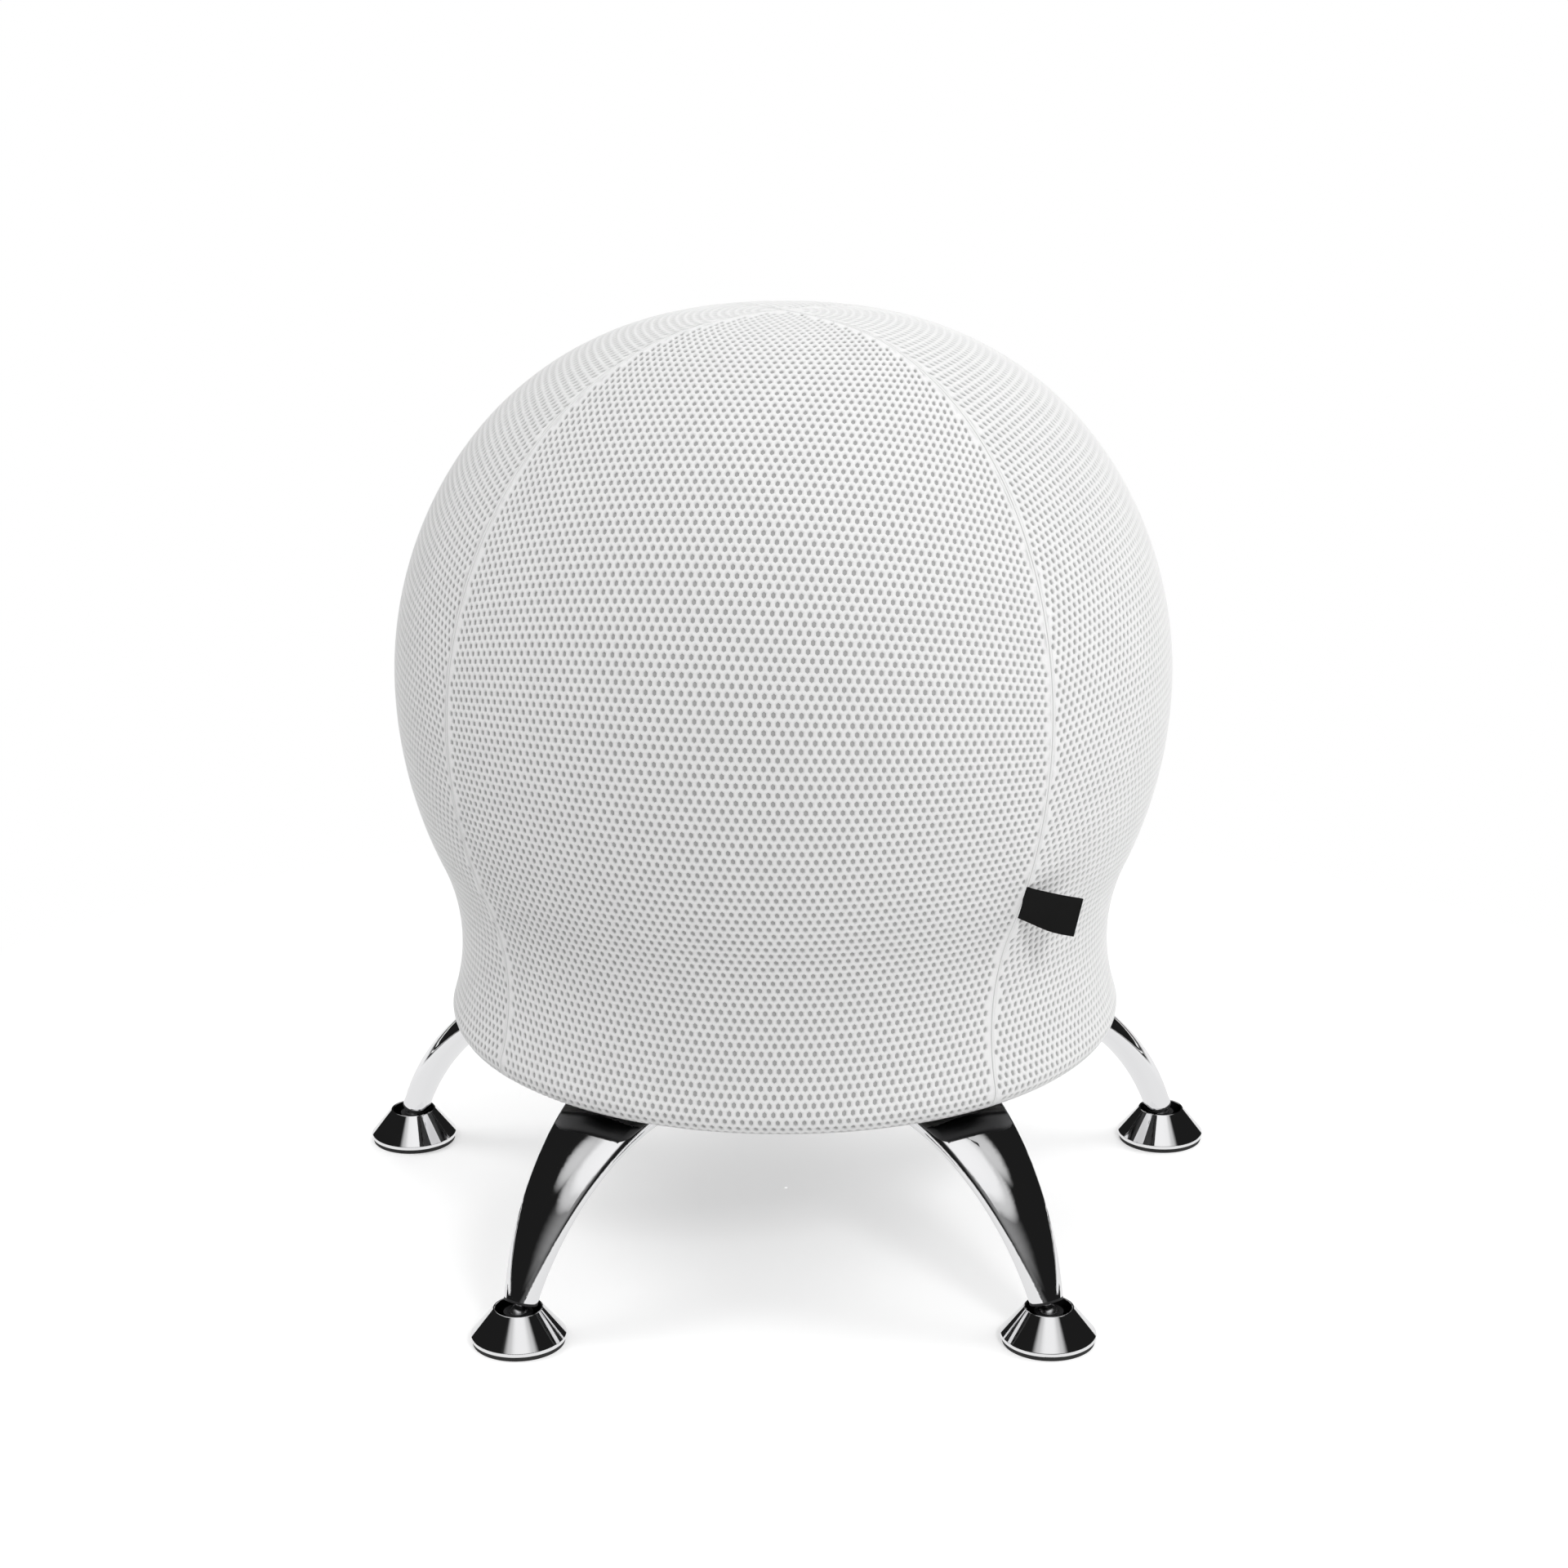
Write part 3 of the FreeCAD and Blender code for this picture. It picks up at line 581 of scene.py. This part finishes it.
def air_ball():
    """Ball in the cover: the cover's face moved in, an arc round the heel and a flat bottom, with ribs.

    Moulded ribs round the axis lift the face by a rounded cosine of the length down from the pole.
    """
    lower = (seat_r - lower_side_r, seat_z)
    lower_r = lower_side_r - ball_in_cover
    heel_z = ball_bottom + ball_heel_r
    heel_centre = lower[0] + math.sqrt((lower_r - ball_heel_r) ** 2 - (heel_z - lower[1]) ** 2)
    heel_turn = math.atan2(heel_z - lower[1], heel_centre - lower[0])
    above = face_z - ball_in_cover * face_rise > lower[1] + lower_r * math.sin(heel_turn)
    length, r, z, out, rise = (v[above] for v in (face_length, face_r, face_z, face_out, face_rise))
    ribs = (0.5 + 0.5 * np.cos(full_turn * length / ball_rib_pitch)) ** 4
    lift = ball_rib * ribs * (length > ribs_start) - ball_in_cover
    side = np.stack([r + lift * out, z + lift * rise], -1)[::2]
    a = np.linspace(heel_turn, -math.pi / 2, heel_points)
    heel = np.stack([heel_centre + ball_heel_r * np.cos(a), heel_z + ball_heel_r * np.sin(a)], -1)
    bottom_r = np.linspace(heel_centre, valve_bore_r, bottom_points)[1:]
    bottom = np.stack([bottom_r, np.full(len(bottom_r), ball_bottom)], -1)
    bore = [(valve_bore_r, ball_bottom + up) for up in (valve_bore_lip, valve_bore_depth)]
    points = lathe(np.concatenate([side, heel, bottom, bore]), points_round_ball)
    piece = build_rings("air_ball", points, runs_down=True)
    close_pole(piece)
    return piece


def valve_stopper():
    """Push-in stopper: a flange with a rounded rim, a ring groove and a middle button, and a barbed stem."""
    button = [(0.0, 0.1), (1.9, 0.1), (2.4, 0.3), (2.6, 1.1)]
    groove = [(8.0, 1.1), (8.3, 0.3), (8.7, 0.0)]
    rim = [(10.2, 0.0), (10.8, 0.25), (11.0, 0.8), (11.0, 1.5), (10.7, 1.9), (10.2, 2.0)]
    stem = [(4.7, 2.0), (4.7, 3.4)]
    barbs = [(4.95, 3.6), (4.5, 5.2), (4.5, 5.8), (4.95, 6.0), (4.5, 7.6), (4.5, 8.2), (4.9, 8.4)]
    tip = [(3.6, 10.8), (2.9, 11.0), (0.0, 11.0)]
    outline = np.array(button + groove + rim + stem + barbs + tip)
    outline = outline * [plug_r / drawn_plug_r, mm] + [0.0, plug_low.z]
    piece = build_rings("valve_stopper", lathe(outline, points_round_plug))
    close_pole(piece)
    return piece


def look(piece, material):
    """Puts one material on a piece."""
    piece.data.materials.clear()
    piece.data.materials.append(material)


def grey(level):
    """Colour without hue."""
    return (level, level, level)


def finish(name, colour, roughness, **sockets):
    """Material with a Principled shader; sockets are its other inputs, with underscores for spaces."""
    material = bpy.data.materials.new(name)
    material.use_nodes = True
    shader = material.node_tree.nodes["Principled BSDF"]
    shader.inputs["Base Color"].default_value = (*colour, 1)
    shader.inputs["Roughness"].default_value = roughness
    for socket, value in sockets.items():
        shader.inputs[socket.replace("_", " ")].default_value = value
    return material, shader


def join(owner, source, target):
    """Link between two sockets of a material or of the world."""
    owner.node_tree.links.new(source, target)


def feed(owner, target, value):
    """Joins a socket to another node's output, or sets it to a plain value."""
    if isinstance(value, bpy.types.NodeSocket):
        join(owner, value, target)
    else:
        target.default_value = value


def add(owner, kind, **sockets):
    """New node, with some inputs set or joined to other nodes' outputs."""
    node = owner.node_tree.nodes.new("ShaderNode" + kind)
    for socket, value in sockets.items():
        feed(owner, node.inputs[socket.replace("_", " ")], value)
    return node


def worked_out(owner, operation, first, second, kind="Math"):
    """Number worked out from two others, or from two vectors."""
    node = add(owner, kind)
    node.operation = operation
    feed(owner, node.inputs[0], first)
    feed(owner, node.inputs[1], second)
    return node.outputs["Value"]


def way_out(material):
    """Length from the origin to a place on the object."""
    node = add(material, "VectorMath", Vector=own_places(material))
    node.operation = "LENGTH"
    return node.outputs["Value"]


def own_places(material):
    """Places on the object itself."""
    return add(material, "TexCoord").outputs["Object"]


def cut_places(material):
    """Places in the flat cut, in metres."""
    node = add(material, "UVMap")
    node.uv_map = "cut"
    return node.outputs["UV"]


def blotches(material, places, scale, detail=3.0):
    """Cloudy pattern from 0 to 1."""
    return add(material, "TexNoise", Vector=places, Scale=scale, Detail=detail).outputs["Fac"]


def mixed(material, share, first, second):
    """Colour between two others, which are colours or sockets."""
    node = add(material, "Mix")
    node.data_type = "RGBA"
    feed(material, node.inputs[0], share)
    for socket, value in ((node.inputs[6], first), (node.inputs[7], second)):
        feed(material, socket, (*value, 1) if isinstance(value, tuple) else value)
    return node.outputs[2]


def tint_by(material, shader, share, first, second):
    """Colour of the surface between two others."""
    join(material, mixed(material, share, first, second), shader.inputs["Base Color"])


def roughen_by(material, shader, share, low, high):
    """Roughness of the surface between two numbers."""
    spread = add(material, "MapRange", Value=share, To_Min=low, To_Max=high)
    join(material, spread.outputs["Result"], shader.inputs["Roughness"])


def raise_by(material, shader, height, strength, distance):
    """Relief on the surface from a pattern of heights."""
    relief = add(material, "Bump", Height=height, Strength=strength, Distance=distance)
    join(material, relief.outputs["Normal"], shader.inputs["Normal"])


def knit(material, places, loop):
    """Knitted loops: two sets of slanting waves, one loop apart, multiplied."""
    bands = []
    for slant in (1.0, -1.0):
        turned = add(material, "Mapping", Vector=places, Rotation=(0, 0, slant * knit_slant))
        wave = add(material, "TexWave", Vector=turned.outputs["Vector"], Scale=0.5 / loop, Distortion=0.4,
                   Detail=1.0)
        bands.append(wave.outputs["Fac"])
    return worked_out(material, "MULTIPLY", *bands)


def mesh_finish():
    """White knitted mesh: strands with fine loops, with painted shade that greys them down in the holes and
    into the seams.
    """
    material, shader = finish("white_mesh", grey(0.84), 0.6, Sheen_Weight=0.12, Sheen_Roughness=0.5)
    flat = cut_places(material)
    depth = add(material, "Attribute")
    depth.attribute_name = "depth"
    strands = mixed(material, blotches(material, flat, 40.0), grey(0.80), (0.87, 0.87, 0.865))
    # Painted shade: grey towards the bottoms of the holes and where the lips drop into the seams
    tint_by(material, shader, depth.outputs["Fac"], strands, grey(0.56))
    raise_by(material, shader, knit(material, flat, 0.8 * mm), strength=0.35, distance=0.1 * mm)
    return material


def backing_finish():
    """Back layer seen through the holes, in a grey that is partly its own knit and partly painted shade deep
    in the holes.
    """
    material, shader = finish("mesh_back_layer", grey(0.42), 0.9)
    loops = knit(material, cut_places(material), 0.9 * mm)
    # Painted shade in part: these greys sit darker than the white knit to stand for the shade down the holes
    tint_by(material, shader, loops, grey(0.43), grey(0.53))
    raise_by(material, shader, loops, strength=0.3, distance=0.15 * mm)
    return material


def binding_finish():
    """White folded binding of the hem."""
    material, shader = finish("hem_cloth", grey(0.80), 0.85)
    places = own_places(material)
    tint_by(material, shader, blotches(material, places, 900.0), grey(0.74), grey(0.84))
    raise_by(material, shader, blotches(material, places, 2500.0), strength=0.3, distance=0.15 * mm)
    return material


def ribbon_finish():
    """Black woven ribbon: warp and weft threads over and under, a little uneven."""
    material, shader = finish("black_ribbon", grey(0.007), 0.75, Specular_IOR_Level=0.2)
    flat = cut_places(material)
    threads = add(material, "TexChecker", Vector=flat, Scale=1 / ribbon_thread).outputs["Fac"]
    tint_by(material, shader, threads, grey(0.004), grey(0.012))
    roughen_by(material, shader, blotches(material, flat, 1800.0), low=0.6, high=0.85)
    raise_by(material, shader, knit(material, flat, ribbon_thread), strength=0.6, distance=0.12 * mm)
    return material


def vinyl_finish():
    """Grey satin vinyl with faint clouds and a fine moulded grain."""
    material, shader = finish("grey_vinyl", (0.55, 0.56, 0.58), 0.45)
    places = own_places(material)
    tint_by(material, shader, blotches(material, places, 9.0), (0.51, 0.52, 0.54), (0.58, 0.59, 0.61))
    roughen_by(material, shader, blotches(material, places, 40.0), low=0.38, high=0.55)
    raise_by(material, shader, blotches(material, places, 1400.0), strength=0.2, distance=0.1 * mm)
    return material


def braid_finish():
    """White braided elastic with rubber threads showing between the yarns."""
    material, shader = finish("white_braid", (0.78, 0.78, 0.76), 0.85)
    places = own_places(material)
    tint_by(material, shader, blotches(material, places, 1500.0), (0.68, 0.68, 0.66), (0.83, 0.83, 0.81))
    raise_by(material, shader, blotches(material, places, 3000.0), strength=0.3, distance=0.1 * mm)
    return material


def chrome_finish():
    """Bright chromium plate with a trace of uneven polish."""
    material, shader = finish("bright_chrome", (0.90, 0.90, 0.91), 0.05, Metallic=1.0)
    places = own_places(material)
    roughen_by(material, shader, blotches(material, places, 18.0, 4.0), low=0.02, high=0.08)
    raise_by(material, shader, blotches(material, places, 30.0), strength=0.02, distance=1 * mm)
    return material


def plastic_finish(name, colour, grain):
    """Moulded plastic with a fine grain."""
    material, shader = finish(name, colour, 0.5)
    places = own_places(material)
    roughen_by(material, shader, blotches(material, places, 60.0), low=0.42, high=0.6)
    raise_by(material, shader, blotches(material, places, 1 / grain), strength=0.25, distance=0.05 * mm)
    return material


def coated_finish():
    """Black powder coat with its faint orange-peel relief."""
    material, shader = finish("black_powder_coat", (0.02, 0.02, 0.021), 0.45)
    places = own_places(material)
    roughen_by(material, shader, blotches(material, places, 25.0), low=0.38, high=0.55)
    raise_by(material, shader, blotches(material, places, 700.0), strength=0.2, distance=0.1 * mm)
    return material


def steel_finish(name, colour):
    """Plated or turned steel with an uneven polish."""
    material, shader = finish(name, colour, 0.3, Metallic=1.0)
    places = own_places(material)
    roughen_by(material, shader, blotches(material, places, 400.0), low=0.2, high=0.4)
    raise_by(material, shader, blotches(material, places, 1500.0), strength=0.08, distance=0.05 * mm)
    return material


def rubber_finish():
    """Matt black rubber."""
    material, shader = finish("pad_rubber_black", grey(0.018), 0.75)
    places = own_places(material)
    tint_by(material, shader, blotches(material, places, 200.0), grey(0.012), grey(0.03))
    raise_by(material, shader, blotches(material, places, 1200.0), strength=0.3, distance=0.1 * mm)
    return material


def dress_cad():
    """Materials of the solid nodes that show as they are."""
    chrome = chrome_finish()
    nylon = plastic_finish("black_nylon", (0.015, 0.015, 0.016), 0.4 * mm)
    looks = {
        "leg_bolts": steel_finish("zinc_plate", (0.62, 0.63, 0.66)),
        "seat_pan": coated_finish(),
        "ball_cradle": plastic_finish("cradle_black", (0.03, 0.03, 0.032), 0.6 * mm),
    }
    looks["leg_washers"] = looks["leg_nuts"] = looks["leg_bolts"]
    looks["base_ring"] = looks["seat_pan"]
    stud = steel_finish("turned_steel", (0.66, 0.66, 0.67))
    rubber = rubber_finish()
    for number in range(1, foot_count + 1):
        looks[f"leg_{number}"] = looks[f"foot_bell_{number}"] = chrome
        looks[f"leg_plug_{number}"] = looks[f"leg_cap_{number}"] = looks[f"foot_socket_{number}"] = nylon
        looks[f"foot_stud_{number}"] = stud
        looks[f"foot_pad_{number}"] = rubber
    for name, material in looks.items():
        look(nodes[name], material)


def cover_pieces():
    """The mesh cover: four gores, the backing, the hem with its elastic, and the side tag."""
    white = mesh_finish()
    for name in seams:
        gore, flat, area = mesh_gore(name)
        look(gore, white)
        gore.visible_glossy = False
        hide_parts("cover_" + name)
        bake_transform(gore)
    back = backing()
    look(back, backing_finish())
    back.visible_glossy = False
    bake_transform(back)
    edge = hem()
    look(edge, binding_finish())
    edge.visible_glossy = False
    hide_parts("cover_hem")
    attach(edge, "frame")
    cord = elastic()
    look(cord, braid_finish())
    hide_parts("hem_elastic")
    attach(cord, "frame")
    tag = tag_ribbon()
    look(tag, ribbon_finish())
    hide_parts("side_tag")
    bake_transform(tag)


def ball_pieces():
    """The air ball and its stopper, which stays in the still bottom of the ball."""
    ball = air_ball()
    look(ball, vinyl_finish())
    ball.visible_glossy = False
    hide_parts("ball")
    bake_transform(ball)
    stopper = valve_stopper()
    look(stopper, plastic_finish("valve_white", (0.78, 0.78, 0.76), 0.5 * mm))
    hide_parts("valve_plug")
    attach(stopper, "frame")


def set_camera():
    """Camera at the photograph's viewing angle."""
    data = bpy.data.cameras.new("camera")
    data.lens = lens_mm
    data.sensor_width = sensor_mm
    camera = bpy.data.objects.new("camera", data)
    bpy.context.scene.collection.objects.link(camera)
    out = camera_distance * math.cos(camera_rise)
    camera.location = (out * math.sin(camera_turn), -out * math.cos(camera_turn),
                       target_z + camera_distance * math.sin(camera_rise))
    camera.rotation_mode = "XYZ"
    camera.rotation_euler = (math.pi / 2 - camera_rise, 0.0, camera_turn)
    camera.rotation_euler.rotate_axis("Z", camera_roll)
    bpy.context.scene.camera = camera


def seen_in_metal_only(piece):
    """Makes a stage piece show in polished metal and nowhere else."""
    piece.visible_camera = piece.visible_diffuse = piece.visible_shadow = False
    piece.visible_transmission = piece.visible_volume_scatter = False


def glow_by(name, value, stops):
    """Glowing material whose grey follows a number from 0 to 1, with (place, grey) stops."""
    material = bpy.data.materials.new(name)
    material.use_nodes = True
    parts = material.node_tree.nodes
    parts.remove(parts["Principled BSDF"])
    ramp = add(material, "ValToRGB", Fac=value(material))
    ramp.color_ramp.interpolation = "EASE"
    points = ramp.color_ramp.elements
    while len(points) < len(stops):
        points.new(0.5)
    for point, (place, level) in zip(points, stops):
        point.position = place
        point.color = (*grey(level), 1)
    glow = add(material, "Emission", Color=ramp.outputs["Color"])
    join(material, glow.outputs[0], parts["Material Output"].inputs["Surface"])
    return material


def reflected_ground():
    """Pale ground that polished metal shows near the stool, darkening away from it."""
    def away(material):
        return add(material, "MapRange", Value=way_out(material), From_Max=ground_reach).outputs["Result"]

    rings = lathe([(r, ground_z) for r in ground_rings], points_round_glow)
    ground = build_rings("ground_card", rings)
    look(ground, glow_by("ground_glow", away, ground_greys))
    seen_in_metal_only(ground)


def reflected_sky():
    """Dome that polished metal shows: dark round the stool, with soft lights, the largest high in front.

    The grey follows the largest, over the lights, of the cosine of the angle between a place on the dome and
    the light's middle, spread from the light's edge to its share of full brightness.
    """
    def height_of(degrees):
        return 0.5 + 0.5 * math.cos(math.radians(degrees))

    def nearness(material):
        places = own_places(material)
        largest = None
        for turn, rise, edge, share in sky_lights:
            turn, rise, edge = (math.radians(v) for v in (turn, rise, edge))
            towards = (math.cos(rise) * math.sin(turn), -math.cos(rise) * math.cos(turn), math.sin(rise))
            along = worked_out(material, "DOT_PRODUCT", places, towards, "VectorMath")
            low = 0.0 if edge >= math.pi else height_of(dark_from)
            near = add(material, "MapRange", Value=along, From_Min=math.cos(edge) * sky_r, From_Max=sky_r,
                       To_Min=low, To_Max=low + share * (1 - low)).outputs["Result"]
            largest = near if largest is None else worked_out(material, "MAXIMUM", largest, near)
        return largest

    angle = np.linspace(0, math.pi / 2 - sky_top_gap, sky_rings)
    rings = lathe(np.stack([sky_r * np.cos(angle), sky_r * np.sin(angle)], -1), points_round_glow)
    sky = build_rings("sky_dome", rings)
    stops = [(height_of(degrees), level) for degrees, level in sky_greys[::-1]]
    look(sky, glow_by("sky_glow", nearness, stops))
    seen_in_metal_only(sky)


def either_shader(owner, share, first, second):
    """Shader between two others."""
    node = add(owner, "MixShader")
    for target, source in zip(node.inputs, (share, first, second)):
        join(owner, source, target)
    return node.outputs[0]


def set_world():
    """White surroundings for the camera and for metal, and a plain level of light for everything else."""
    world = bpy.data.worlds.new("studio")
    bpy.context.scene.world = world
    world.use_nodes = True
    seen = world.node_tree.nodes["Background"]
    seen.inputs["Color"].default_value = (1, 1, 1, 1)
    seen.inputs["Strength"].default_value = 1.0
    lit = add(world, "Background", Color=(1, 1, 1, 1), Strength=room_light)
    path = add(world, "LightPath").outputs
    direct = worked_out(world, "MAXIMUM", path["Is Camera Ray"], path["Is Glossy Ray"])
    shown = either_shader(world, direct, lit.outputs[0], seen.outputs[0])
    join(world, shown, world.node_tree.nodes["World Output"].inputs["Surface"])


def set_floor():
    """Pale floor that keeps the stool's shadow, turns plain white away from it, and is open from below."""
    material, shader = finish("pale_floor", grey(floor_grey), 0.9)
    camera_ray = add(material, "LightPath").outputs["Is Camera Ray"]
    fade = add(material, "MapRange", Value=way_out(material), From_Min=floor_white_from,
               From_Max=floor_white_at).outputs["Result"]
    lift = add(material, "Emission", Strength=worked_out(material, "MULTIPLY", camera_ray, floor_lift))
    near = add(material, "AddShader")
    join(material, shader.outputs[0], near.inputs[0])
    join(material, lift.outputs[0], near.inputs[1])
    white = add(material, "Emission", Strength=1.0)
    far = worked_out(material, "MULTIPLY", fade, camera_ray)
    above = either_shader(material, far, near.outputs[0], white.outputs[0])
    below = add(material, "BsdfTransparent")
    from_below = add(material, "NewGeometry").outputs["Backfacing"]
    shown = either_shader(material, from_below, above, below.outputs[0])
    join(material, shown, material.node_tree.nodes["Material Output"].inputs["Surface"])
    rings = lathe([(r, floor_z) for r in floor_rings], points_round_floor)
    floor = build_rings("floor", rings, runs_down=True)
    look(floor, material)
    floor.visible_glossy = False


def set_lamps():
    """Square lamps, aimed at the stool and not mirrored in its metal."""
    for name, (place, size, watts) in lamps.items():
        data = bpy.data.lights.new(name, "AREA")
        data.size = size
        data.energy = watts
        lamp = bpy.data.objects.new(name, data)
        bpy.context.scene.collection.objects.link(lamp)
        lamp.location = place
        lamp.visible_glossy = False
        aim = np.array(place) - np.array([0, 0, aim_z])
        lamp.rotation_euler = (math.acos(aim[2] / np.linalg.norm(aim)), 0, math.atan2(aim[0], -aim[1]))


def set_stage():
    """Floor, surroundings and light."""
    bpy.context.scene.view_settings.view_transform = "Standard"
    set_world()
    set_floor()
    reflected_ground()
    reflected_sky()
    set_lamps()


dress_cad()
cover_pieces()
ball_pieces()
set_camera()
set_stage()
